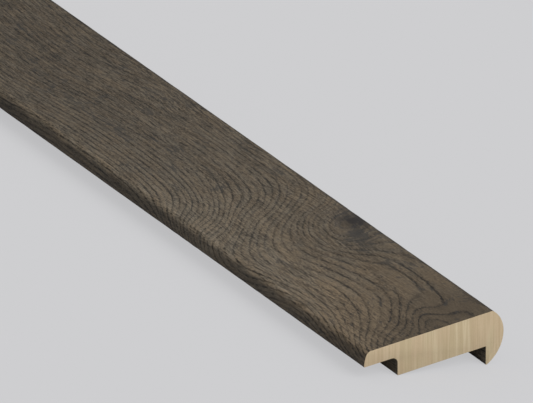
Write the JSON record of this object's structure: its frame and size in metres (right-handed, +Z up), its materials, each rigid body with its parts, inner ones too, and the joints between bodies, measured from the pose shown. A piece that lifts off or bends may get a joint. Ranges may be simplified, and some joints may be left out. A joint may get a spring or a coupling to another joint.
{
  "type": "overlapping stair nosing",
  "caption": "Solid wood stair nosing with a rounded nose that laps over the riser, a flat foot and a thin rebated lip that laps over the floor covering.",
  "frame": {"origin": "centre of the part's footprint, at floor level", "axes": "+X along the moulding, +Z up, the rounded nose points to -Y and the lip to +Y; the part is stored as it comes to rest on a level floor, leaning back 11.25 degrees about X on the tip of the nose and the back corner of the foot"},
  "size_m": [1.981, 0.0826, 0.0291],
  "materials": {
    "stained_oak": "dark grey-brown stain under a low-sheen lacquer on the long faces, bare wood on the sawn ends"
  },
  "bodies": {
    "root": {"stair_nosing": "stained_oak"}
  },
  "joints": []
}
